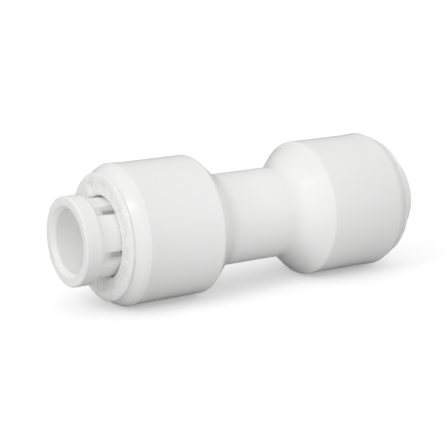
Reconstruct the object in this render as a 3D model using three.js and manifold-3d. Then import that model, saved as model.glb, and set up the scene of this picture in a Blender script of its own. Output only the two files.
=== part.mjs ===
// Push to connect straight union for 6.35 mm (1/4 in) tube.
//
// A one-piece housing with a socket at each end. Each socket holds, from the inside out, an
// O-ring, a spacer ring and an end cap, and a release collet that slides in the cap. The collet
// has five sprung fingers, each with a steel tooth that grips the tube.
//
// Millimetres. X runs along the tube axis, Z is up, and the origin is the centre of the bore.
// Every socket piece is drawn once, round its own Y axis: Y is the distance from the middle of
// the fitting towards the mouth. A side group then lays that Y axis along +X or -X.

import * as THREE from 'three';
import { mergeVertices } from 'three/addons/utils/BufferGeometryUtils.js';
import Module from 'manifold-3d';

const wasm = await Module();
wasm.setup();

// ---- driving dimensions -------------------------------------------------------------------

const TUBE_RADIUS = 3.175;

// Housing, outside
const BODY_RADIUS = 7.5;
const NECK_RADIUS = 5.0;
const SOCKET_FACE = 17.42;
const NECK_FILLET_RADIUS = 2.3;
const SHOULDER_ANGLE = THREE.MathUtils.degToRad(42);
const SHOULDER_END = 7.1;
const SHOULDER_EDGE_ROUND = 0.5;
const RIM_FLARE_START = 14.3;
const RIM_EDGE_PLACE = 15.95;
const RIM_EDGE_RADIUS = 7.58;
const RIM_BEVEL_END = 16.5;
const RIM_BEVEL_RADIUS = 7.35;
const RIM_FACE_RADIUS = 6.72;

// Housing, inside
const FLOW_BORE_RADIUS = 2.4;
const TUBE_STOP = 3.5;
const TUBE_SEAT_RADIUS = TUBE_RADIUS + 0.125;
const SEAL_SEAT_START = 7.0;
const SEAL_SEAT_RADIUS = 5.0;
const POCKET_START = 10.4;
const POCKET_RADIUS = 6.3;
const MOUTH_CHAMFER = 0.2;

// O-ring and spacer ring
const O_RING_SECTION_RADIUS = 0.93;
const O_RING_PLACE = 8.05;
const SPACER_BORE_RADIUS = TUBE_RADIUS + 0.175;
const SPACER_NOSE_START = 9.15;
const SPACER_FLANGE_THICKNESS = 0.75;

// End cap
const CAP_FACE = 17.9;
const CAP_FLANGE_RADIUS = 6.8;
const CAP_BACK_CHAMFER = 0.1;
const CAP_FACE_RADIUS = 6.15;
const CAP_FACE_DISH = 0.15;
const CAP_ROUND_LENGTH = 0.33;
const CAP_HOLE_RADIUS = 4.36;
const CAP_HOLE_LENGTH = 1.15;
const CAP_TAPER_LENGTH = 1.7;
const CAP_INNER_RADIUS = 5.5;
const CAP_INNER_END = 11.25;
const DIMPLE_RADIUS = 0.88;
const DIMPLE_DEPTH = 0.45;
const DIMPLE_PLACE_RADIUS = 5.15;
const DIMPLE_ANGLE = THREE.MathUtils.degToRad(25);

// Release collet, with its front face at COLLET_FRONT_OUT when it is pulled out
const COLLET_FRONT_OUT = 21.77;
const COLLET_STROKE = 1.95;
const COLLET_BORE_RADIUS = TUBE_RADIUS + 0.175;
const COLLET_ENTRY_CHAMFER = 0.45;
const COLLET_FLANGE_RADIUS = 4.73;
const COLLET_FLANGE_THICKNESS = 1.85;
const COLLET_EDGE_ROUND = 0.18;
const COLLET_BARREL_RADIUS = 4.15;
const COLLET_TIP = 13.4;
const HEAD_RADIUS = 5.35;
const HEAD_STRAIGHT_START = 13.8;
const HEAD_TIP_RADIUS = 4.7;
const FINGER_COUNT = 5;
const SLOT_WIDTH = 1.2;
const SLOT_SETBACK = 0.35;
const SLOT_RAMP_LENGTH = 1.25;

// Gripping teeth, flat steel strips set in the finger heads
const TOOTH_THICKNESS = 0.25;
const TOOTH_WIDTH = 1.8;
const TOOTH_TIP_RADIUS = TUBE_RADIUS - 0.125;
const TOOTH_ROOT_RADIUS = 4.75;
const TOOTH_EDGE_LENGTH = 0.3;
const TOOTH_PLACE = 14.35;
const TOOTH_LEAN = THREE.MathUtils.degToRad(24);

// Running and assembly clearances
const TAPER_CLEARANCE = 0.1;
const SEAT_CLEARANCE = 0.03;
const TOOTH_CLEARANCE = 0.06;

// How far a cutting shape runs past the surfaces it cuts
const CUT_OVERRUN = 1;

// Directions of a socket piece's own axes at the top of the fitting
const SIDEWAYS = new THREE.Vector3(1, 0, 0);
const ALONG = new THREE.Vector3(0, 1, 0);
const OUTWARD = new THREE.Vector3(0, 0, 1);

// Each end's resting state: how far its collet is pushed in, and how its collet is turned
const LEFT_END = { name: 'left', turn: Math.PI / 2, pushedIn: 0, colletAngle: -34.5 };
const RIGHT_END = { name: 'right', turn: -Math.PI / 2, pushedIn: COLLET_STROKE, colletAngle: 14 };

const ROUND_SEGMENTS = 40;
const RING_SEGMENTS = 32;

// ---- materials ------------------------------------------------------------------------------

function plastic(color, roughness) {
  return new THREE.MeshStandardMaterial({ color, roughness, metalness: 0 });
}

const housingPlastic = plastic(0xeeeeec, 0.35);
const capPlastic = plastic(0xe9e9e7, 0.42);
const colletPlastic = plastic(0xf0f0ee, 0.4);
const spacerPlastic = plastic(0xdcdcd8, 0.5);
const sealRubber = new THREE.MeshStandardMaterial({ color: 0x1b1b1c, roughness: 0.7, metalness: 0 });
const toothSteel = new THREE.MeshStandardMaterial({ color: 0xb9bcc0, roughness: 0.3, metalness: 1 });

// ---- shape helpers --------------------------------------------------------------------------

// A round piece from [radius, y] points that run up the outside and back down the inside.
function turned(points, segments) {
  const outline = points.map(([radius, y]) => new THREE.Vector2(radius, y));
  outline.push(outline[0].clone());
  return new THREE.LatheGeometry(outline, segments);
}

// Points on an elliptical arc in the [radius, y] plane, with angles measured from +radius.
function arcPoints(centre, sizeRadius, sizeY, from, to, steps) {
  const points = [];
  for (let step = 0; step <= steps; step += 1) {
    const angle = THREE.MathUtils.degToRad(from + ((to - from) * step) / steps);
    points.push([centre[0] + sizeRadius * Math.cos(angle), centre[1] + sizeY * Math.sin(angle)]);
  }
  return points;
}

function toSolid(geometry) {
  const bare = geometry.clone();
  bare.deleteAttribute('normal');
  bare.deleteAttribute('uv');
  const merged = mergeVertices(bare, 1e-5);
  const vertProperties = new Float32Array(merged.attributes.position.array);
  const triVerts = new Uint32Array(merged.index.array);
  return new wasm.Manifold(new wasm.Mesh({ numProp: 3, vertProperties, triVerts }));
}

function toGeometry(solid) {
  const mesh = solid.getMesh();
  const geometry = new THREE.BufferGeometry();
  geometry.setAttribute('position', new THREE.BufferAttribute(new Float32Array(mesh.vertProperties), 3));
  geometry.setIndex(new THREE.BufferAttribute(new Uint32Array(mesh.triVerts), 1));
  geometry.computeVertexNormals();
  return geometry;
}

function cutAll(geometry, cutters) {
  let solid = toSolid(geometry);
  for (const cutter of cutters) {
    solid = solid.subtract(toSolid(cutter));
  }
  return toGeometry(solid);
}

function namedMesh(name, geometry, material) {
  const mesh = new THREE.Mesh(geometry, material);
  mesh.name = name;
  return mesh;
}

// ---- housing --------------------------------------------------------------------------------

// Outside of one half, from the middle of the neck to the rim of the socket mouth.
function housingOutside() {
  const riseOfCone = Math.tan(SHOULDER_ANGLE);
  const coneFoot = SHOULDER_END - (BODY_RADIUS - NECK_RADIUS) / riseOfCone;
  const filletReach = NECK_FILLET_RADIUS * Math.tan(SHOULDER_ANGLE / 2);
  const edgeReach = SHOULDER_EDGE_ROUND * Math.tan(SHOULDER_ANGLE / 2);
  const shoulderDegrees = THREE.MathUtils.radToDeg(SHOULDER_ANGLE);
  const filletCentre = [NECK_RADIUS + NECK_FILLET_RADIUS, coneFoot - filletReach];
  const edgeCentre = [BODY_RADIUS - SHOULDER_EDGE_ROUND, SHOULDER_END + edgeReach];
  return [
    ...arcPoints(filletCentre, NECK_FILLET_RADIUS, NECK_FILLET_RADIUS, 180, 180 - shoulderDegrees, 4),
    ...arcPoints(edgeCentre, SHOULDER_EDGE_ROUND, SHOULDER_EDGE_ROUND, -shoulderDegrees, 0, 2),
    [BODY_RADIUS, RIM_FLARE_START],
    [RIM_EDGE_RADIUS, RIM_EDGE_PLACE],
    [RIM_BEVEL_RADIUS, RIM_BEVEL_END],
    [RIM_FACE_RADIUS, SOCKET_FACE],
  ];
}

// Inside of one half, from the socket mouth back to the tube stop.
function housingInside() {
  return [
    [POCKET_RADIUS + MOUTH_CHAMFER, SOCKET_FACE],
    [POCKET_RADIUS, SOCKET_FACE - MOUTH_CHAMFER],
    [POCKET_RADIUS, POCKET_START],
    [SEAL_SEAT_RADIUS + MOUTH_CHAMFER, POCKET_START],
    [SEAL_SEAT_RADIUS, POCKET_START - MOUTH_CHAMFER],
    [SEAL_SEAT_RADIUS, SEAL_SEAT_START],
    [TUBE_SEAT_RADIUS + MOUTH_CHAMFER, SEAL_SEAT_START],
    [TUBE_SEAT_RADIUS, SEAL_SEAT_START - MOUTH_CHAMFER],
    [TUBE_SEAT_RADIUS, TUBE_STOP],
    [FLOW_BORE_RADIUS, TUBE_STOP],
  ];
}

function mirrored(points) {
  return points.map(([radius, y]) => [radius, -y]).reverse();
}

function unionBody() {
  const outside = housingOutside();
  const inside = housingInside();
  const outline = [...mirrored(outside), ...outside, ...inside, ...mirrored(inside)];
  const mesh = namedMesh('union_body', turned(outline, ROUND_SEGMENTS), housingPlastic);
  mesh.rotation.z = RIGHT_END.turn;
  return mesh;
}

// ---- pieces fixed in a socket -----------------------------------------------------------------

function oRing(end) {
  const centreRadius = SEAL_SEAT_RADIUS - SEAT_CLEARANCE - O_RING_SECTION_RADIUS;
  const size = O_RING_SECTION_RADIUS;
  const section = arcPoints([centreRadius, O_RING_PLACE], size, size, -90, 270, 10).slice(0, -1);
  return namedMesh(`${end.name}_o_ring`, turned(section, RING_SEGMENTS), sealRubber);
}

// A stepped ring: its nose backs the O-ring, and the end cap clamps its flange.
function spacerRing(end) {
  const noseRadius = SEAL_SEAT_RADIUS - SEAT_CLEARANCE * 2;
  const flangeRadius = POCKET_RADIUS - SEAT_CLEARANCE * 2;
  const flangeStart = POCKET_START + SEAT_CLEARANCE;
  const flangeEnd = flangeStart + SPACER_FLANGE_THICKNESS;
  const outline = [
    [noseRadius, SPACER_NOSE_START],
    [noseRadius, flangeStart],
    [flangeRadius, flangeStart],
    [flangeRadius, flangeEnd],
    [SPACER_BORE_RADIUS + MOUTH_CHAMFER, flangeEnd],
    [SPACER_BORE_RADIUS, flangeEnd - MOUTH_CHAMFER],
    [SPACER_BORE_RADIUS, SPACER_NOSE_START],
  ];
  return namedMesh(`${end.name}_spacer_ring`, turned(outline, RING_SEGMENTS), spacerPlastic);
}

// The round-bottomed hollow in the cap's face.
function dimpleCutter() {
  const ballRadius = (DIMPLE_RADIUS ** 2 + DIMPLE_DEPTH ** 2) / (2 * DIMPLE_DEPTH);
  const ball = new THREE.SphereGeometry(ballRadius, 16, 12);
  const x = DIMPLE_PLACE_RADIUS * Math.sin(DIMPLE_ANGLE);
  const z = DIMPLE_PLACE_RADIUS * Math.cos(DIMPLE_ANGLE);
  ball.translate(x, CAP_FACE + ballRadius - DIMPLE_DEPTH, z);
  return ball;
}

function endCap(end) {
  const shankRadius = POCKET_RADIUS - SEAT_CLEARANCE;
  const flangeStart = SOCKET_FACE + SEAT_CLEARANCE;
  const dishFloor = CAP_FACE - CAP_FACE_DISH;
  const holeInnerEnd = CAP_FACE - CAP_HOLE_LENGTH;
  const roundSize = CAP_FLANGE_RADIUS - CAP_FACE_RADIUS;
  const roundStart = CAP_FACE - CAP_ROUND_LENGTH;
  const outline = [
    [shankRadius, CAP_INNER_END],
    [shankRadius, flangeStart],
    [CAP_FLANGE_RADIUS - CAP_BACK_CHAMFER, flangeStart],
    [CAP_FLANGE_RADIUS, flangeStart + CAP_BACK_CHAMFER],
    ...arcPoints([CAP_FACE_RADIUS, roundStart], roundSize, CAP_ROUND_LENGTH, 0, 90, 3),
    [CAP_HOLE_RADIUS + MOUTH_CHAMFER, dishFloor],
    [CAP_HOLE_RADIUS, dishFloor - MOUTH_CHAMFER],
    [CAP_HOLE_RADIUS, holeInnerEnd],
    [CAP_INNER_RADIUS, holeInnerEnd - CAP_TAPER_LENGTH],
    [CAP_INNER_RADIUS, CAP_INNER_END],
  ];
  const geometry = cutAll(turned(outline, ROUND_SEGMENTS), [dimpleCutter()]);
  return namedMesh(`${end.name}_end_cap`, geometry, capPlastic);
}

// ---- release collet and its teeth ---------------------------------------------------------------

// The collet before it is slotted: flange, barrel and the barbed head that the cap's taper holds.
function colletBlank() {
  const flangeRear = COLLET_FRONT_OUT - COLLET_FLANGE_THICKNESS;
  const taperSlope = (CAP_INNER_RADIUS - CAP_HOLE_RADIUS) / CAP_TAPER_LENGTH;
  const taperMouth = CAP_FACE - CAP_HOLE_LENGTH;
  const taperY = (radius) => taperMouth - (radius + TAPER_CLEARANCE - CAP_HOLE_RADIUS) / taperSlope;
  return [
    [COLLET_BORE_RADIUS, COLLET_TIP],
    [HEAD_TIP_RADIUS, COLLET_TIP],
    [HEAD_RADIUS, HEAD_STRAIGHT_START],
    [HEAD_RADIUS, taperY(HEAD_RADIUS)],
    [COLLET_BARREL_RADIUS, taperY(COLLET_BARREL_RADIUS)],
    [COLLET_BARREL_RADIUS, flangeRear],
    [COLLET_FLANGE_RADIUS - COLLET_EDGE_ROUND, flangeRear],
    [COLLET_FLANGE_RADIUS, flangeRear + COLLET_EDGE_ROUND],
    [COLLET_FLANGE_RADIUS, COLLET_FRONT_OUT - COLLET_EDGE_ROUND],
    [COLLET_FLANGE_RADIUS - COLLET_EDGE_ROUND, COLLET_FRONT_OUT],
    [COLLET_BORE_RADIUS + COLLET_ENTRY_CHAMFER, COLLET_FRONT_OUT],
    [COLLET_BORE_RADIUS, COLLET_FRONT_OUT - COLLET_ENTRY_CHAMFER],
  ];
}

// A slot's closed end slopes, so that the slot starts further in on the bore than on the barrel.
function slotCutter(angle) {
  const start = COLLET_TIP - CUT_OVERRUN;
  const end = COLLET_FRONT_OUT - COLLET_FLANGE_THICKNESS - SLOT_SETBACK;
  const slope = SLOT_RAMP_LENGTH / (COLLET_BARREL_RADIUS - COLLET_BORE_RADIUS);
  const inner = COLLET_BORE_RADIUS - CUT_OVERRUN;
  const outer = HEAD_RADIUS + CUT_OVERRUN;
  const profile = new THREE.Shape();
  profile.moveTo(start, inner);
  profile.lineTo(end - slope * (COLLET_BARREL_RADIUS - inner), inner);
  profile.lineTo(end, COLLET_BARREL_RADIUS);
  profile.lineTo(end, outer);
  profile.lineTo(start, outer);
  profile.closePath();
  const cutter = new THREE.ExtrudeGeometry(profile, { depth: SLOT_WIDTH, bevelEnabled: false });
  cutter.translate(0, 0, -SLOT_WIDTH / 2);
  cutter.applyMatrix4(new THREE.Matrix4().makeBasis(ALONG, OUTWARD, SIDEWAYS));
  cutter.rotateY(angle);
  return cutter;
}

// Lays a shape drawn with its inner end towards the axis into a finger head at the given angle.
function placeInHead(geometry, angle) {
  geometry.rotateX(-TOOTH_LEAN);
  geometry.translate(0, TOOTH_PLACE, (TOOTH_TIP_RADIUS + TOOTH_ROOT_RADIUS) / 2);
  geometry.rotateY(angle);
  return geometry;
}

function toothLength() {
  return (TOOTH_ROOT_RADIUS - TOOTH_TIP_RADIUS) / Math.cos(TOOTH_LEAN);
}

function toothPocketCutter(angle) {
  const thickness = TOOTH_THICKNESS + TOOTH_CLEARANCE * 2;
  const width = TOOTH_WIDTH + TOOTH_CLEARANCE * 2;
  const length = toothLength() + TOOTH_CLEARANCE * 2;
  return placeInHead(new THREE.BoxGeometry(width, thickness, length), angle);
}

// A strip whose inner end is ground to a chisel edge on its outward-facing side.
function toothGeometry(angle) {
  const half = toothLength() / 2;
  const profile = new THREE.Shape();
  profile.moveTo(-half, -TOOTH_THICKNESS / 2);
  profile.lineTo(half, -TOOTH_THICKNESS / 2);
  profile.lineTo(half, TOOTH_THICKNESS / 2);
  profile.lineTo(-half + TOOTH_EDGE_LENGTH, TOOTH_THICKNESS / 2);
  profile.closePath();
  const strip = new THREE.ExtrudeGeometry(profile, { depth: TOOTH_WIDTH, bevelEnabled: false });
  strip.translate(0, 0, -TOOTH_WIDTH / 2);
  strip.rotateY(-Math.PI / 2);
  return placeInHead(strip, angle);
}

function slotAngle(index) {
  return (index * 2 * Math.PI) / FINGER_COUNT;
}

function fingerAngle(index) {
  return slotAngle(index + 0.5);
}

function collet(end) {
  const cutters = [];
  for (let index = 0; index < FINGER_COUNT; index += 1) {
    cutters.push(slotCutter(slotAngle(index)));
    cutters.push(toothPocketCutter(fingerAngle(index)));
  }
  const geometry = cutAll(turned(colletBlank(), ROUND_SEGMENTS), cutters);
  return namedMesh(`${end.name}_collet`, geometry, colletPlastic);
}

function slidingGroup(end) {
  const group = new THREE.Group();
  group.add(collet(end));
  for (let index = 0; index < FINGER_COUNT; index += 1) {
    const name = `${end.name}_tooth_${index + 1}`;
    group.add(namedMesh(name, toothGeometry(fingerAngle(index)), toothSteel));
  }
  group.position.y = -end.pushedIn;
  group.rotation.y = THREE.MathUtils.degToRad(end.colletAngle);
  return group;
}

// ---- assembly -----------------------------------------------------------------------------------

function socketEnd(end) {
  const group = new THREE.Group();
  group.add(oRing(end), spacerRing(end), endCap(end), slidingGroup(end));
  group.rotation.z = end.turn;
  return group;
}

const fitting = new THREE.Group();
fitting.add(unionBody(), socketEnd(LEFT_END), socketEnd(RIGHT_END));

export default fitting;
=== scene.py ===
"""Looks of a straight push to connect fitting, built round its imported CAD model.

Every piece is round about the X axis. It is drawn in millimetres as an outline of
(along, radius) points, where along is the distance from the middle of the fitting towards a
mouth. Angles are measured round X from the top, and grow towards the near side, -Y.
"""

import math
from itertools import pairwise

import bmesh
import bpy
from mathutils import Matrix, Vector


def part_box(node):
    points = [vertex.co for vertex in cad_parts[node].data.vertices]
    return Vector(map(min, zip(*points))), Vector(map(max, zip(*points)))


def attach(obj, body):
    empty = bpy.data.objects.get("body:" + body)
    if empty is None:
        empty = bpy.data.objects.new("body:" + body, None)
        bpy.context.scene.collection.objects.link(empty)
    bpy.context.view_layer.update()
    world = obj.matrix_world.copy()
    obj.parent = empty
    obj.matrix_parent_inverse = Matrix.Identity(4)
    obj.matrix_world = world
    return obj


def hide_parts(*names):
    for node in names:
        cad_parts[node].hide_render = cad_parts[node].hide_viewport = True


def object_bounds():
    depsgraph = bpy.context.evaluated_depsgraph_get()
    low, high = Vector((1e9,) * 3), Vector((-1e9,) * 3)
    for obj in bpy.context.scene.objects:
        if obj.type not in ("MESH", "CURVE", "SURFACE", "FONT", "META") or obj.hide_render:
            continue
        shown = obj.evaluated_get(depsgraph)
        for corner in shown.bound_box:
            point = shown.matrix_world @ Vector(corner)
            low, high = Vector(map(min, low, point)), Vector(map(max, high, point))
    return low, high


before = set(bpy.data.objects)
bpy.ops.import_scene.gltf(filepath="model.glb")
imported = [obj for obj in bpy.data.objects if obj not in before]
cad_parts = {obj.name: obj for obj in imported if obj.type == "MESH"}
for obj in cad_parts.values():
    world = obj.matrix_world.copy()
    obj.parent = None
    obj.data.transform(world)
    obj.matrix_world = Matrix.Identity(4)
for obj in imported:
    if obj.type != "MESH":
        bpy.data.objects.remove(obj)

CAD_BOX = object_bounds()
MM = 0.001


def reach(node):
    """How far a node goes along X and up Z, in mm: (furthest along, nearest along, radius)."""
    low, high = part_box(node)
    ends = sorted((abs(low.x), abs(high.x)))
    return ends[1] / MM, ends[0] / MM, max(high.z, -low.z) / MM


# ---- sizes, mm --------------------------------------------------------------------------------

SOCKET_FACE, _, RIM_EDGE_RADIUS = reach("union_body")
CAP_FACE, CAP_INNER_END, CAP_FLANGE_RADIUS = reach("left_end_cap")
SPACER_OUTER_END, SPACER_INNER_END, _ = reach("left_spacer_ring")
SEAL_OUTER_END, SEAL_INNER_END, SEAL_RADIUS = reach("left_o_ring")

# Housing
BODY_RADIUS = 7.5
NECK_RADIUS = 5.0
NECK_FILLET = 2.3
SHOULDER_ANGLE = math.radians(42)
SHOULDER_END = 7.1
SHOULDER_ROUND = 0.5
RIM_FLARE_START = 14.3
RIM_EDGE_PLACE = 15.95
RIM_BEVEL_END = 16.5
RIM_BEVEL_RADIUS = 7.35
RIM_FACE_RADIUS = 6.72
RIM_LAND_RADIUS = 6.66
FLOW_BORE_RADIUS = 2.4
TUBE_STOP = 3.5
TUBE_SEAT_RADIUS = 3.3
SEAL_SEAT_START = 7.0
SEAL_SEAT_RADIUS = 5.0
POCKET_START = 10.4
POCKET_RADIUS = 6.3
RIM_FLARE_ROUND = 8.0
RIM_EDGE_ROUND = 0.06
RIM_BEVEL_ROUND = 0.5
RIM_FACE_ROUND = 0.08
MOUTH_ROUND = 0.15
STEP_ROUND = 0.15
POCKET_ROUND = 0.2
SEAL_SEAT_ROUND = 0.2
STOP_ROUND = 0.1
FLOW_BORE_ROUND = 0.15

# End cap
CAP_SHANK_RADIUS = 6.27
CAP_GAP = 0.005
CAP_FLANGE_START = SOCKET_FACE + CAP_GAP
CAP_BACK_CHAMFER = 0.1
CAP_FACE_RADIUS = 6.15
CAP_FACE_DISH = 0.15
CAP_ROUND_LENGTH = 0.33
CAP_HOLE_RADIUS = 4.36
CAP_HOLE_CHAMFER = 0.2
CAP_HOLE_LENGTH = 1.15
CAP_TAPER_LENGTH = 1.7
CAP_INNER_RADIUS = 5.5
CAP_INNER_ROUND = 0.1
CAP_SHANK_ROUND = 0.2
CAP_BACK_ROUND = 0.05
CAP_CHAMFER_ROUND = 0.04
CAP_FLANGE_ROUND = 0.08
CAP_HOLE_ROUND = 0.15
CAP_MOUTH_ROUND = 0.04
CAP_FACE_ROWS = 16
SERRATIONS = 48
SERRATION_DEPTH = 0.05
SERRATION_INNER = 4.72
SERRATION_OUTER = 5.8
SERRATION_FADE = 0.12
DIMPLE_RADIUS = 0.88
DIMPLE_DEPTH = 0.45
DIMPLE_PLACE = 5.15
DIMPLE_ANGLE = math.radians(25)

# Collet, along measured back from its front face
COLLET_BORE_RADIUS = 3.35
COLLET_ENTRY_CHAMFER = 0.45
COLLET_FLANGE_RADIUS = 4.73
COLLET_FLANGE_THICKNESS = 1.85
COLLET_BARREL_RADIUS = 4.15
COLLET_HEAD_RADIUS = 5.35
COLLET_TIP_RADIUS = 4.7
COLLET_HEAD_TAPER = 0.4
COLLET_TAPER_START = 5.12
COLLET_EDGE_ROUND = 0.18
COLLET_ROOT_ROUND = 0.15
COLLET_LIP_ROUND = 0.12
COLLET_ENTRY_ROUND = 0.3
HEAD_EDGE_ROUND = 0.2
HEAD_BACK_ROUND = 0.15
HEAD_FOOT_ROUND = 0.4
FINGERS = 5
FINGER_PITCH = 2 * math.pi / FINGERS
SLOT_HALF_WIDTH = 0.6
SLOT_SETBACK = 0.35
SLOT_RAMP_LENGTH = 1.25
SLOT_EDGE_ROUND = 0.06
LEFT_SLOT_ANGLE = math.radians(34.5)
RIGHT_SLOT_ANGLE = math.radians(14)

# Teeth, set in the finger heads
TOOTH_THICKNESS = 0.25
TOOTH_WIDTH = 1.8
TOOTH_TIP_RADIUS = 3.05
TOOTH_ROOT_RADIUS = 4.75
TOOTH_GROUND_LENGTH = 0.3
TOOTH_SETBACK = 7.42
TOOTH_LEAN = math.radians(24)
TOOTH_LENGTH = (TOOTH_ROOT_RADIUS - TOOTH_TIP_RADIUS) / math.cos(TOOTH_LEAN)
TOOTH_CLEARANCE = 0.06
TOOTH_EDGE_ROUND = 0.02

# Seal ring, whose flash spread is an angle round its section
SEAL_STEPS = 48
FLASH_HEIGHT = 0.03
FLASH_SPREAD = 0.12

# Spacer ring
SPACER_NOSE_RADIUS = 4.94
SPACER_FLANGE_RADIUS = 6.24
SPACER_FLANGE_THICKNESS = 0.75
SPACER_BORE_RADIUS = 3.35
SPACER_END_ROUND = 0.12
SPACER_STEP_ROUND = 0.05
SPACER_FLANGE_ROUND = 0.1
SPACER_MOUTH_ROUND = 0.2

# How finely the meshes are cut, and which edges count as corners
ARC_STEP = math.radians(12)
COLUMNS = 256
CAP_COLUMNS = SERRATIONS * 8
FINGER_COLUMNS = 40
SLOT_COLUMNS = 6
SHARP_ANGLE = math.radians(30)
BEVEL_ANGLE = math.radians(40)


class End:
    """One mouth: its side of X, and the angles of its collet's first slot and its cap's dimple."""

    def __init__(self, name, side, slot_angle, dimple_angle):
        self.name = name
        self.side = side
        self.slot_angle = slot_angle
        self.dimple_angle = dimple_angle
        self.collet_front, self.collet_tip, _ = reach(f"{name}_collet")
        self.body = f"{name}_release_collet"


ENDS = [
    End("left", -1, LEFT_SLOT_ANGLE, -DIMPLE_ANGLE),
    End("right", 1, RIGHT_SLOT_ANGLE, DIMPLE_ANGLE),
]


# ---- outlines ---------------------------------------------------------------------------------


def rounded(corners, closed=True):
    """The outline through corners of (along, radius, round), with an arc turned at each corner."""
    points = []
    for index, (along, radius, size) in enumerate(corners):
        here = Vector((along, radius))
        is_end = not closed and index in (0, len(corners) - 1)
        if is_end or size == 0:
            points.append(here)
            continue
        before = Vector(corners[index - 1][:2])
        after = Vector(corners[(index + 1) % len(corners)][:2])
        into = (here - before).normalized()
        onward = (after - here).normalized()
        turn = math.atan2(into.x * onward.y - into.y * onward.x, into.dot(onward))
        inward = Vector((-into.y, into.x)) * math.copysign(1, turn)
        start = here - into * size * math.tan(abs(turn) / 2)
        steps = max(2, math.ceil(abs(turn) / ARC_STEP))
        for step in range(steps + 1):
            angle = abs(turn) * step / steps
            points.append(start + size * (math.sin(angle) * into + (1 - math.cos(angle)) * inward))
    return points


def quarter(centre, length, height, steps=10):
    """A quarter ellipse from the widest radius round to the furthest along."""
    points = []
    for step in range(steps + 1):
        angle = math.pi / 2 * step / steps
        across = Vector((length * math.sin(angle), height * math.cos(angle)))
        points.append(Vector(centre) + across)
    return points


def mirrored(points):
    return [Vector((-point.x, point.y)) for point in reversed(points)]


def spot(side, along, radius, angle):
    """The place in the frame of a point given by its distance along, radius and angle."""
    return Vector((side * along, -radius * math.sin(angle), radius * math.cos(angle))) * MM


# ---- mesh building ----------------------------------------------------------------------------


def make_object(name, shape, material):
    """Turns a bmesh into an object with outward faces."""
    bmesh.ops.recalc_face_normals(shape, faces=shape.faces)
    mesh = bpy.data.meshes.new(name)
    shape.to_mesh(mesh)
    shape.free()
    piece = bpy.data.objects.new(name, mesh)
    bpy.context.scene.collection.objects.link(piece)
    piece.data.materials.append(material)
    return piece


def smooth(piece):
    """Smooth shading that keeps flat faces flat and real corners sharp."""
    piece.data.shade_smooth()
    piece.data.set_sharp_from_angle(angle=SHARP_ANGLE)
    normals = piece.modifiers.new("flat_faces_stay_flat", "WEIGHTED_NORMAL")
    normals.keep_sharp = True


def bevel(piece, width, segments=3):
    """Rounds the piece's corners by a width in mm."""
    edges = piece.modifiers.new("edge_rounds", "BEVEL")
    edges.width = width * MM
    edges.segments = segments
    edges.limit_method = "ANGLE"
    edges.angle_limit = BEVEL_ANGLE


def apply_modifiers(piece):
    """Makes the piece's modifiers part of its mesh."""
    graph = bpy.context.evaluated_depsgraph_get()
    mesh = bpy.data.meshes.new_from_object(piece.evaluated_get(graph))
    piece.modifiers.clear()
    piece.data = mesh


def cut(piece, cutter):
    """Takes the cutter's shape out of the piece, and removes the cutter."""
    taken = piece.modifiers.new("cut", "BOOLEAN")
    taken.operation = "DIFFERENCE"
    taken.solver = "EXACT"
    taken.object = cutter
    apply_modifiers(piece)
    bpy.data.objects.remove(cutter)


def band(shape, first, second, columns, closed):
    """Faces between two rows of vertices."""
    for column in range(columns if closed else columns - 1):
        following = (column + 1) % columns
        shape.faces.new((first[column], first[following], second[following], second[column]))


def round_piece(name, side, outline, material, columns=COLUMNS, face=None):
    """A closed outline swept round X. face(along, radius, angle) gives a point's along."""
    shape = bmesh.new()
    rows = []
    for along, radius in outline:
        row = []
        for column in range(columns):
            angle = 2 * math.pi * column / columns
            place = face(along, radius, angle) if face else along
            row.append(shape.verts.new(spot(side, place, radius, angle)))
        rows.append(row)
    for first, second in pairwise(rows + rows[:1]):
        band(shape, first, second, columns, closed=True)
    return make_object(name, shape, material)


def place_piece(piece, body, slot, *nodes):
    """Puts the piece on its body, in place of the CAD nodes it draws. The slot is not used."""
    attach(piece, body)
    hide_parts(*nodes)


# ---- housing ----------------------------------------------------------------------------------


def housing_half():
    """One half, in two runs: from the neck out to the rim, then from the mouth in to the middle."""
    cone_foot = SHOULDER_END - (BODY_RADIUS - NECK_RADIUS) / math.tan(SHOULDER_ANGLE)
    outside = rounded(
        [
            (0, NECK_RADIUS, 0),
            (cone_foot, NECK_RADIUS, NECK_FILLET),
            (SHOULDER_END, BODY_RADIUS, SHOULDER_ROUND),
            (RIM_FLARE_START, BODY_RADIUS, RIM_FLARE_ROUND),
            (RIM_EDGE_PLACE, RIM_EDGE_RADIUS, RIM_EDGE_ROUND),
            (RIM_BEVEL_END, RIM_BEVEL_RADIUS, RIM_BEVEL_ROUND),
            (SOCKET_FACE, RIM_FACE_RADIUS, RIM_FACE_ROUND),
            (SOCKET_FACE, RIM_LAND_RADIUS, 0),
        ],
        closed=False,
    )
    inside = rounded(
        [
            (SOCKET_FACE, RIM_LAND_RADIUS, 0),
            (SOCKET_FACE, POCKET_RADIUS, MOUTH_ROUND),
            (POCKET_START, POCKET_RADIUS, POCKET_ROUND),
            (POCKET_START, SEAL_SEAT_RADIUS, STEP_ROUND),
            (SEAL_SEAT_START, SEAL_SEAT_RADIUS, SEAL_SEAT_ROUND),
            (SEAL_SEAT_START, TUBE_SEAT_RADIUS, SEAL_SEAT_ROUND),
            (TUBE_STOP, TUBE_SEAT_RADIUS, STOP_ROUND),
            (TUBE_STOP, FLOW_BORE_RADIUS, FLOW_BORE_ROUND),
            (0, FLOW_BORE_RADIUS, 0),
        ],
        closed=False,
    )
    return outside[1:-1], inside[:-1]


def build_housing(material):
    outside, inside = housing_half()
    outline = mirrored(outside) + outside + inside + mirrored(inside)
    shell = round_piece("housing_shell", 1, outline, material)
    smooth(shell)
    place_piece(shell, "housing", "housing_plastic", "union_body")


# ---- end caps ---------------------------------------------------------------------------------


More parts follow.
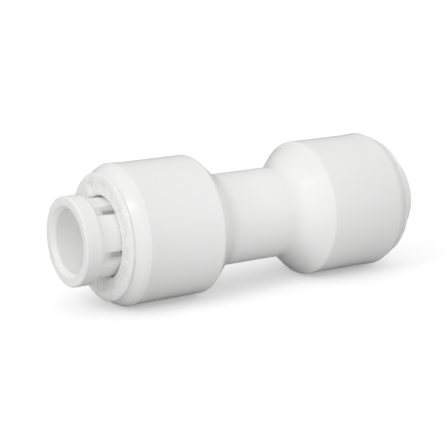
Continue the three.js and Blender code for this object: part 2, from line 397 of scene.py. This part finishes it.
def dished(radius):
    """How far along the cap's face is: a shallow dish from its outer edge down to the hole."""
    share = (CAP_FACE_RADIUS - radius) / (CAP_FACE_RADIUS - CAP_HOLE_RADIUS - CAP_HOLE_CHAMFER)
    return CAP_FACE - CAP_FACE_DISH * min(1, max(0, share))


def cap_outline():
    """From the inner taper round the shank, the flange, the dished face and back down the hole."""
    hole_inner_end = CAP_FACE - CAP_HOLE_LENGTH
    taper_end = hole_inner_end - CAP_TAPER_LENGTH
    round_start = CAP_FACE - CAP_ROUND_LENGTH
    flange = rounded(
        [
            (taper_end, CAP_INNER_RADIUS, 0),
            (CAP_INNER_END, CAP_INNER_RADIUS, CAP_INNER_ROUND),
            (CAP_INNER_END, CAP_SHANK_RADIUS, CAP_SHANK_ROUND),
            (CAP_FLANGE_START, CAP_SHANK_RADIUS, CAP_BACK_ROUND),
            (CAP_FLANGE_START, CAP_FLANGE_RADIUS - CAP_BACK_CHAMFER, CAP_CHAMFER_ROUND),
            (CAP_FLANGE_START + CAP_BACK_CHAMFER, CAP_FLANGE_RADIUS, CAP_FLANGE_ROUND),
            (round_start, CAP_FLANGE_RADIUS, 0),
        ],
        closed=False,
    )
    round_height = CAP_FLANGE_RADIUS - CAP_FACE_RADIUS
    shoulder = quarter((round_start, CAP_FACE_RADIUS), CAP_ROUND_LENGTH, round_height)
    hole_mouth = CAP_HOLE_RADIUS + CAP_HOLE_CHAMFER
    face = []
    for row in range(1, CAP_FACE_ROWS):
        radius = CAP_FACE_RADIUS + (hole_mouth - CAP_FACE_RADIUS) * row / CAP_FACE_ROWS
        face.append(Vector((dished(radius), radius)))
    dish_floor = CAP_FACE - CAP_FACE_DISH
    before_mouth = hole_mouth + CAP_MOUTH_ROUND
    hole = rounded(
        [
            (dished(before_mouth), before_mouth, 0),
            (dish_floor, hole_mouth, CAP_MOUTH_ROUND),
            (dish_floor - CAP_HOLE_CHAMFER, CAP_HOLE_RADIUS, CAP_HOLE_ROUND),
            (hole_inner_end, CAP_HOLE_RADIUS, CAP_HOLE_ROUND),
            (taper_end, CAP_INNER_RADIUS, 0),
        ],
        closed=False,
    )
    return flange[1:-1] + shoulder + face + hole[1:]


def fade(value, start, end):
    """0 at start, 1 at end, and smooth between them."""
    share = min(1, max(0, (value - start) / (end - start)))
    return share * share * (3 - 2 * share)


def cap_face(end):
    """The cap face's fine radial serrations and its round-bottomed dimple."""
    ball = (DIMPLE_RADIUS**2 + DIMPLE_DEPTH**2) / (2 * DIMPLE_DEPTH)
    dimple = DIMPLE_PLACE * Vector((math.sin(end.dimple_angle), math.cos(end.dimple_angle)))
    just_under = SERRATION_DEPTH / 10

    def along_at(along, radius, angle):
        if along > dished(radius) - just_under:
            window = fade(radius, SERRATION_INNER, SERRATION_INNER + SERRATION_FADE)
            window *= fade(radius, SERRATION_OUTER, SERRATION_OUTER - SERRATION_FADE)
            along -= SERRATION_DEPTH * window * (0.5 - 0.5 * math.cos(SERRATIONS * angle))
        if along > CAP_FACE - CAP_HOLE_LENGTH / 2:
            here = Vector((radius * math.sin(angle), radius * math.cos(angle)))
            distance = (here - dimple).length
            if distance < DIMPLE_RADIUS:
                depth = DIMPLE_DEPTH - ball + math.sqrt(ball**2 - distance**2)
                along = min(along, CAP_FACE - depth)
        return along

    return along_at


def build_cap(end, material):
    name = f"{end.name}_cap_shell"
    cap = round_piece(name, end.side, cap_outline(), material, CAP_COLUMNS, cap_face(end))
    smooth(cap)
    place_piece(cap, "housing", "cap_plastic", f"{end.name}_end_cap")


# ---- seals and spacer rings -------------------------------------------------------------------


def build_seal(end, material):
    """A round section with a thin line of moulding flash round its outside and its inside."""
    section = (SEAL_OUTER_END - SEAL_INNER_END) / 2
    centre = Vector(((SEAL_OUTER_END + SEAL_INNER_END) / 2, SEAL_RADIUS - section))
    outline = []
    for step in range(SEAL_STEPS):
        angle = 2 * math.pi * step / SEAL_STEPS
        from_flash = min(abs(angle - parting) for parting in (math.pi / 2, 3 * math.pi / 2))
        flash = FLASH_HEIGHT * math.exp(-((from_flash / FLASH_SPREAD) ** 2))
        size = section - FLASH_HEIGHT + flash
        outline.append(centre + size * Vector((math.cos(angle), math.sin(angle))))
    ring = round_piece(f"{end.name}_seal_ring", end.side, outline, material)
    smooth(ring)
    place_piece(ring, "housing", "seal_rubber", f"{end.name}_o_ring")


def build_spacer(end, material):
    flange_start = SPACER_OUTER_END - SPACER_FLANGE_THICKNESS
    outline = rounded(
        [
            (SPACER_INNER_END, SPACER_NOSE_RADIUS, SPACER_END_ROUND),
            (flange_start, SPACER_NOSE_RADIUS, SPACER_STEP_ROUND),
            (flange_start, SPACER_FLANGE_RADIUS, SPACER_FLANGE_ROUND),
            (SPACER_OUTER_END, SPACER_FLANGE_RADIUS, SPACER_FLANGE_ROUND),
            (SPACER_OUTER_END, SPACER_BORE_RADIUS, SPACER_MOUTH_ROUND),
            (SPACER_INNER_END, SPACER_BORE_RADIUS, SPACER_END_ROUND),
        ]
    )
    ring = round_piece(f"{end.name}_spacer_turned", end.side, outline, material)
    smooth(ring)
    place_piece(ring, "housing", "spacer_plastic", f"{end.name}_spacer_ring")


# ---- collets and teeth ------------------------------------------------------------------------


def collet_outlines(end):
    """The collet's outline in two runs: the unslotted ring, then the fingers, sharing their ends."""
    front = end.collet_front
    flange_rear = front - COLLET_FLANGE_THICKNESS
    slot_end = flange_rear - SLOT_SETBACK
    bore_slot_end = slot_end - SLOT_RAMP_LENGTH
    taper_slope = (CAP_INNER_RADIUS - CAP_HOLE_RADIUS) / CAP_TAPER_LENGTH
    taper_front = front - COLLET_TAPER_START
    taper_rear = taper_front - (COLLET_HEAD_RADIUS - COLLET_BARREL_RADIUS) / taper_slope
    ring = rounded(
        [
            (slot_end, COLLET_BARREL_RADIUS, 0),
            (flange_rear, COLLET_BARREL_RADIUS, COLLET_ROOT_ROUND),
            (flange_rear, COLLET_FLANGE_RADIUS, COLLET_EDGE_ROUND),
            (front, COLLET_FLANGE_RADIUS, COLLET_EDGE_ROUND),
            (front, COLLET_BORE_RADIUS + COLLET_ENTRY_CHAMFER, COLLET_LIP_ROUND),
            (front - COLLET_ENTRY_CHAMFER, COLLET_BORE_RADIUS, COLLET_ENTRY_ROUND),
            (bore_slot_end, COLLET_BORE_RADIUS, 0),
        ],
        closed=False,
    )
    fingers = rounded(
        [
            (bore_slot_end, COLLET_BORE_RADIUS, 0),
            (end.collet_tip, COLLET_BORE_RADIUS, COLLET_LIP_ROUND),
            (end.collet_tip, COLLET_TIP_RADIUS, COLLET_LIP_ROUND),
            (end.collet_tip + COLLET_HEAD_TAPER, COLLET_HEAD_RADIUS, HEAD_EDGE_ROUND),
            (taper_rear, COLLET_HEAD_RADIUS, HEAD_BACK_ROUND),
            (taper_front, COLLET_BARREL_RADIUS, HEAD_FOOT_ROUND),
            (slot_end, COLLET_BARREL_RADIUS, 0),
        ],
        closed=False,
    )
    return ring, fingers


def collet_shape(end):
    """Fingers with flat-sided slots between them, joined by the ring behind the front face."""
    ring, fingers = collet_outlines(end)
    shape = bmesh.new()

    def arc_row(point, centre, half, shares):
        """Points at one place along and one radius, from centre - half to centre + half."""
        angles = [centre + (2 * share - 1) * half for share in shares]
        return [shape.verts.new(spot(end.side, point.x, point.y, angle)) for angle in angles]

    def finger_row(point, finger):
        half = FINGER_PITCH / 2 - math.asin(SLOT_HALF_WIDTH / point.y)
        centre = end.slot_angle + (finger + 0.5) * FINGER_PITCH
        shares = [column / FINGER_COLUMNS for column in range(FINGER_COLUMNS + 1)]
        return arc_row(point, centre, half, shares)

    def slot_row(point, finger):
        """The points across the slot after a finger, without the ones on its edges."""
        half = math.asin(SLOT_HALF_WIDTH / point.y)
        centre = end.slot_angle + (finger + 1) * FINGER_PITCH
        shares = [column / SLOT_COLUMNS for column in range(1, SLOT_COLUMNS)]
        return arc_row(point, centre, half, shares)

    span = FINGER_COLUMNS + SLOT_COLUMNS
    ring_rows = []
    for point in ring:
        row = []
        for finger in range(FINGERS):
            row += finger_row(point, finger) + slot_row(point, finger)
        ring_rows.append(row)
    for first, second in pairwise(ring_rows):
        band(shape, first, second, len(first), closed=True)
    outer, inner = ring_rows[0], ring_rows[-1]
    for finger in range(FINGERS):
        start = finger * span
        rows = [inner[start : start + FINGER_COLUMNS + 1]]
        rows += [finger_row(point, finger) for point in fingers[1:-1]]
        rows.append(outer[start : start + FINGER_COLUMNS + 1])
        for first, second in pairwise(rows):
            band(shape, first, second, FINGER_COLUMNS + 1, closed=False)
        for column in (0, -1):
            shape.faces.new([row[column] for row in rows])
        slot_start = start + FINGER_COLUMNS
        across = [(slot_start + column) % len(outer) for column in range(SLOT_COLUMNS + 1)]
        outer_edge = [outer[place] for place in across]
        inner_edge = [inner[place] for place in across]
        band(shape, outer_edge, inner_edge, SLOT_COLUMNS + 1, closed=False)
    return shape


def finger_angles(end):
    """The angle of each finger's middle."""
    return [end.slot_angle + (finger + 0.5) * FINGER_PITCH for finger in range(FINGERS)]


def head_prism(end, angle, profile, width):
    """A prism set in a finger head: profile points are (outward, forward) before it leans."""
    centre_along = end.collet_front - TOOTH_SETBACK
    centre_radius = (TOOTH_TIP_RADIUS + TOOTH_ROOT_RADIUS) / 2
    sideways = Vector((0, -math.cos(angle), -math.sin(angle))) * MM
    shape = bmesh.new()
    walls = []
    for half in (-width / 2, width / 2):
        wall = []
        for outward, forward in profile:
            along = centre_along + forward * math.cos(TOOTH_LEAN) + outward * math.sin(TOOTH_LEAN)
            radius = centre_radius - forward * math.sin(TOOTH_LEAN) + outward * math.cos(TOOTH_LEAN)
            place = spot(end.side, along, radius, angle) + half * sideways
            wall.append(shape.verts.new(place))
        walls.append(wall)
        shape.faces.new(wall)
    band(shape, walls[0], walls[1], len(profile), closed=True)
    return shape


def build_collet(end, material):
    collet = make_object(f"{end.name}_collet_moulding", collet_shape(end), material)
    bevel(collet, SLOT_EDGE_ROUND)
    apply_modifiers(collet)
    half = TOOTH_LENGTH / 2 + TOOTH_CLEARANCE
    thick = TOOTH_THICKNESS / 2 + TOOTH_CLEARANCE
    pocket = [(-half, -thick), (half, -thick), (half, thick), (-half, thick)]
    for angle in finger_angles(end):
        shape = head_prism(end, angle, pocket, TOOTH_WIDTH + 2 * TOOTH_CLEARANCE)
        cut(collet, make_object("pocket", shape, material))
    smooth(collet)
    place_piece(collet, end.body, "collet_plastic", f"{end.name}_collet")


def build_teeth(end, material):
    half = TOOTH_LENGTH / 2
    thick = TOOTH_THICKNESS / 2
    profile = [(-half, -thick), (half, -thick), (half, thick), (-half + TOOTH_GROUND_LENGTH, thick)]
    for number, angle in enumerate(finger_angles(end), 1):
        shape = head_prism(end, angle, profile, TOOTH_WIDTH)
        tooth = make_object(f"{end.name}_steel_tooth_{number}", shape, material)
        bevel(tooth, TOOTH_EDGE_ROUND, 2)
        smooth(tooth)
        place_piece(tooth, end.body, "tooth_steel", f"{end.name}_tooth_{number}")


# ---- materials --------------------------------------------------------------------------------


class Nodes:
    """Short calls for building the node tree of one material or world."""

    def __init__(self, owner):
        self.owner = owner
        owner.use_nodes = True
        self.tree = owner.node_tree
        self.tree.nodes.clear()
        is_world = isinstance(owner, bpy.types.World)
        self.output = self.add("ShaderNodeOutputWorld" if is_world else "ShaderNodeOutputMaterial")

    def link(self, source, target):
        self.tree.links.new(source, target)

    def texture(self, kind):
        return self.add("ShaderNodeTexCoord").outputs[kind]

    def seen_by_camera(self):
        return self.add("ShaderNodeLightPath").outputs["Is Camera Ray"]

    def dot(self, first, second):
        node = self.add("ShaderNodeVectorMath", operation="DOT_PRODUCT")
        self.plug(zip(node.inputs, (first, second)))
        return node.outputs["Value"]

    def maths(self, operation, *values):
        node = self.add("ShaderNodeMath", operation=operation)
        self.plug(zip(node.inputs, values))
        return node.outputs[0]

    def plug(self, pairs):
        """Sets each socket to its value, or links it where the value is another node's output."""
        for socket, value in pairs:
            if isinstance(value, bpy.types.NodeSocket):
                self.link(value, socket)
            else:
                socket.default_value = value

    def add(self, kind, **settings):
        node = self.tree.nodes.new(kind)
        for key, value in settings.items():
            setattr(node, key, value)
        return node

    def set(self, node, **inputs):
        self.plug((node.inputs[key.replace("_", " ")], value) for key, value in inputs.items())
        return node

    def noise(self, size, detail=2.0, stretch=(1, 1, 1)):
        """Noise with features of about size mm, stretched along the axes."""
        mapping = self.set(self.add("ShaderNodeMapping"), Scale=[1 / along for along in stretch])
        self.set(mapping, Vector=self.texture("Object"))
        node = self.set(self.add("ShaderNodeTexNoise"), Scale=1 / (size * MM), Detail=detail)
        self.set(node, Vector=mapping.outputs[0])
        return node.outputs[0]

    def range(self, value, low, high, start=0.3, end=0.7):
        """Runs from low to high as the value goes from start to end, and no further."""
        node = self.set(self.add("ShaderNodeMapRange"), Value=value, To_Min=low, To_Max=high)
        return self.set(node, From_Min=start, From_Max=end).outputs[0]

    def mix(self, share, first, second):
        """The first colour at a share of 0, and the second at 1."""
        node = self.add("ShaderNodeMix", data_type="RGBA")
        self.plug([(node.inputs[0], share), (node.inputs[6], first), (node.inputs[7], second)])
        return node.outputs[2]

    def bump(self, height, strength, depth, base=None):
        """A surface roughened by height, depth mm deep, on top of the base roughness if given."""
        node = self.set(self.add("ShaderNodeBump"), Height=height, Strength=strength)
        self.set(node, Distance=depth * MM)
        if base is not None:
            self.set(node, Normal=base)
        return node.outputs[0]

    def corner_shade(self, distance):
        """1 on open surfaces, falling towards 0 where others stand within a distance in mm."""
        node = self.set(self.add("ShaderNodeAmbientOcclusion", samples=8), Distance=distance * MM)
        return node.outputs["AO"]

    def faces_axis(self):
        """1 on walls that face the tube's axis, falling to 0 on those that face away from it."""
        across = self.set(self.add("ShaderNodeMapping"), Scale=(0, 1, 1))
        self.set(across, Vector=self.texture("Object"))
        away = self.add("ShaderNodeVectorMath", operation="NORMALIZE")
        self.link(across.outputs[0], away.inputs[0])
        facing = self.dot(away.outputs["Vector"], self.texture("Normal"))
        return self.range(facing, low=1, high=0, start=-0.6, end=0.4)

    def finish(self, **inputs):
        shader = self.set(self.add("ShaderNodeBsdfPrincipled"), **inputs)
        self.link(shader.outputs[0], self.output.inputs[0])
        return self.owner


def new_material(name):
    return Nodes(bpy.data.materials.new(name))


def grey(level, warmth=0.0):
    """A grey of linear brightness level, a little redder and less blue if it is warm."""
    return (level * (1 + warmth), level, level * (1 - warmth), 1)


def white_plastic(name, level, roughness, grain_size, painted_glow=0.0):
    """
    Moulded white plastic: faint mottling, a fine moulded skin, a slightly uneven shine and painted
    shade that darkens and warms its tight corners. Its last argument sets a painted glow, standing
    in for the light that comes through the wall where the surface is deep in a bore or slot.
    """
    nodes = new_material(name)
    mottle = nodes.range(nodes.noise(size=2.2, detail=3), low=0, high=1)
    colour = nodes.mix(mottle, grey(level * 0.996, warmth=0.004), grey(level, warmth=0.003))
    # Painted shade: the colour is darkened and warmed where other surfaces stand within 0.3 mm, in
    # corners, gaps and grooves.
    clear_of_painted_shade = nodes.range(nodes.corner_shade(distance=0.3), low=0, high=1, start=0.1, end=0.6)
    colour = nodes.mix(clear_of_painted_shade, grey(level * 0.86, warmth=0.012), colour)
    skin = nodes.bump(nodes.noise(grain_size, detail=3), strength=0.1, depth=0.01)
    sink = nodes.noise(size=3.0, detail=1)
    surface = nodes.bump(sink, strength=0.12, depth=0.05, base=skin)
    shine = nodes.range(nodes.noise(size=1.4, detail=2), roughness - 0.03, roughness + 0.04)
    inputs = {"Base_Color": colour, "Roughness": shine, "Normal": surface, "IOR": 1.48}
    # Painted light: walls deep in bores and slots that face the axis glow a little, standing in for
    # light through the translucent wall.
    if painted_glow > 0:
        painted_glow_in_hollows = nodes.range(nodes.corner_shade(distance=5), low=painted_glow, high=0, start=0, end=1)
        inputs["Emission_Color"] = grey(1)
        inputs["Emission_Strength"] = nodes.maths("MULTIPLY", painted_glow_in_hollows, nodes.faces_axis())
    return nodes.finish(**inputs)


def seal_rubber():
    """Black seal rubber with a grained skin and a trace of assembly grease."""
    nodes = new_material("seal_rubber")
    bloom = nodes.range(nodes.noise(size=0.8, detail=4), low=0, high=1, start=0.42, end=0.75)
    colour = nodes.mix(bloom, grey(0.012), grey(0.035))
    grain = nodes.bump(nodes.noise(size=0.05, detail=2), strength=0.3, depth=0.01)
    grease = nodes.range(nodes.noise(size=1.5, detail=2), low=0.32, high=0.62)
    return nodes.finish(Base_Color=colour, Roughness=grease, Normal=grain)


def tooth_steel():
    """Stamped stainless strip with fine scratches across it and darker patches."""
    nodes = new_material("tooth_steel")
    patches = nodes.range(nodes.noise(size=0.5, detail=3), low=0, high=1)
    colour = nodes.mix(patches, grey(0.48, warmth=0.02), grey(0.66, warmth=0.01))
    scratches = nodes.noise(size=0.03, detail=2, stretch=(1, 12, 12))
    grain = nodes.bump(scratches, strength=0.35, depth=0.004)
    rolled = nodes.noise(size=0.2, detail=2, stretch=(1, 6, 6))
    shine = nodes.range(rolled, low=0.2, high=0.4)
    return nodes.finish(Base_Color=colour, Metallic=1.0, Roughness=shine, Normal=grain)


# ---- studio -----------------------------------------------------------------------------------

VIEW_AZIMUTH = -32.4
VIEW_ELEVATION = 13.8
VIEW_DISTANCE = 167.0
VIEW_LENS = 122.2
AIM_RIGHT = -2.25
AIM_UP = -0.86

# The dome's brightness: level + slope * s - dip * s^2, where s is how far a direction is turned
# to the key, then more towards both ends, and more in the near left and far right corners
KEY_AZIMUTH = -21
KEY_ELEVATION = 54
DOME_LEVEL = 0.7
DOME_SLOPE = 0.42
DOME_DIP = 0.44
DOME_SIDES = 0.1
DOME_CORNERS = 0.16
FLOOR_BOUNCE = 0.56
FLOOR_GLOW = 0.3
FLOOR_SIZE = 3000
SPOT_SOFTNESS = 1 / 12


def towards(azimuth, elevation):
    """The direction from the fitting to something at an azimuth and elevation in degrees."""
    a, e = math.radians(azimuth), math.radians(elevation)
    return Vector((math.sin(a) * math.cos(e), -math.cos(a) * math.cos(e), math.sin(e)))


def add_camera():
    back = towards(VIEW_AZIMUTH, VIEW_ELEVATION)
    turn = back.to_track_quat("Z", "Y")
    aim = turn @ Vector((AIM_RIGHT, AIM_UP, 0))
    camera = bpy.data.objects.new("camera", bpy.data.cameras.new("camera"))
    camera.data.lens = VIEW_LENS
    camera.data.clip_start = 0.005
    camera.rotation_mode = "QUATERNION"
    camera.rotation_quaternion = turn
    camera.location = (aim + back * VIEW_DISTANCE) * MM
    bpy.context.scene.collection.objects.link(camera)
    bpy.context.scene.camera = camera


def add_floor():
    """A pale floor that looks almost white, and throws back less light than it shows."""
    half = FLOOR_SIZE / 2 * MM
    height = CAD_BOX[0].z
    shape = bmesh.new()
    corners = [(-half, -half), (half, -half), (half, half), (-half, half)]
    shape.faces.new([shape.verts.new((x, y, height)) for x, y in corners])
    nodes = new_material("floor")
    paper = nodes.range(nodes.noise(size=0.6, detail=3), low=0.93, high=0.95)
    seen = nodes.seen_by_camera()
    level = nodes.mix(seen, grey(FLOOR_BOUNCE), paper)
    lift = nodes.maths("MULTIPLY", seen, FLOOR_GLOW)
    finish = nodes.finish(
        Base_Color=level,
        Roughness=0.9,
        Specular_IOR_Level=0.0,
        Emission_Color=grey(1),
        Emission_Strength=lift,
    )
    floor = make_object("floor", shape, finish)


def add_world():
    """White behind the object, and a soft dome that lights it more from above than from below."""
    world = bpy.data.worlds.new("studio")
    nodes = Nodes(world)
    direction = nodes.texture("Generated")
    towards_key = nodes.dot(direction, towards(KEY_AZIMUTH, KEY_ELEVATION))
    across = nodes.dot(direction, Vector((1, 0, 0)))
    glow = nodes.maths("MULTIPLY_ADD", towards_key, -DOME_DIP, DOME_SLOPE)
    glow = nodes.maths("MULTIPLY_ADD", glow, towards_key, DOME_LEVEL)
    sides = nodes.maths("MULTIPLY", across, across)
    glow = nodes.maths("MULTIPLY_ADD", sides, DOME_SIDES, glow)
    depth = nodes.dot(direction, Vector((0, 1, 0)))
    corners = nodes.maths("MULTIPLY", across, depth)
    glow = nodes.maths("MULTIPLY_ADD", corners, DOME_CORNERS, glow)
    glow = nodes.maths("MAXIMUM", glow, 0)
    lit = nodes.set(nodes.add("ShaderNodeBackground"), Color=grey(1), Strength=glow)
    white = nodes.set(nodes.add("ShaderNodeBackground"), Color=grey(1), Strength=1)
    mix = nodes.add("ShaderNodeMixShader")
    nodes.link(nodes.seen_by_camera(), mix.inputs[0])
    nodes.link(lit.outputs[0], mix.inputs[1])
    nodes.link(white.outputs[0], mix.inputs[2])
    nodes.link(mix.outputs[0], nodes.output.inputs[0])
    bpy.context.scene.world = world


def add_softbox(name, azimuth, elevation, distance, width, height, power):
    """A rectangular light aimed at the fitting, placed by azimuth and elevation as the camera is."""
    back = towards(azimuth, elevation)
    light = bpy.data.lights.new(name, "AREA")
    light.shape = "RECTANGLE"
    light.size = width * MM
    light.size_y = height * MM
    light.energy = power
    box = bpy.data.objects.new(name, light)
    box.location = back * distance * MM
    box.rotation_mode = "QUATERNION"
    box.rotation_quaternion = back.to_track_quat("Z", "Y")
    bpy.context.scene.collection.objects.link(box)


def add_spot(name, azimuth, elevation, distance, target, pool_radius, power):
    """A soft-edged pool of light round a target on the fitting, which leaves no highlight."""
    back = towards(azimuth, elevation)
    light = bpy.data.lights.new(name, "SPOT")
    light.shadow_soft_size = SPOT_SOFTNESS * distance * MM
    light.spot_size = 2 * math.atan(pool_radius / distance)
    light.spot_blend = 1.0
    light.energy = power
    spot_lamp = bpy.data.objects.new(name, light)
    spot_lamp.location = (Vector(target) + back * distance) * MM
    spot_lamp.rotation_mode = "QUATERNION"
    spot_lamp.rotation_quaternion = back.to_track_quat("Z", "Y")
    spot_lamp.visible_glossy = False
    bpy.context.scene.collection.objects.link(spot_lamp)


def add_studio():
    add_camera()
    add_floor()
    add_world()
    add_softbox("window", -68, 43, distance=350, width=60, height=50, power=0.08)
    add_spot("middle", -34, 4, distance=200, target=(4, 0, -2), pool_radius=25, power=0.42)
    add_spot("mouth", -76, 18, distance=200, target=(-20, 0, -1), pool_radius=10, power=0.85)
    bpy.context.scene.view_settings.view_transform = "Standard"


# ---- assembly ---------------------------------------------------------------------------------


def build():
    housing = white_plastic("housing_plastic", level=0.92, roughness=0.15, grain_size=0.12)
    cap = white_plastic("cap_plastic", level=0.92, roughness=0.26, grain_size=0.1)
    collet = white_plastic("collet_plastic", level=0.96, roughness=0.24, grain_size=0.11, painted_glow=0.24)
    spacer = white_plastic("spacer_plastic", level=0.7, roughness=0.5, grain_size=0.09)
    rubber = seal_rubber()
    steel = tooth_steel()
    build_housing(housing)
    for end in ENDS:
        build_cap(end, cap)
        build_seal(end, rubber)
        build_spacer(end, spacer)
        build_collet(end, collet)
        build_teeth(end, steel)
    add_studio()


build()
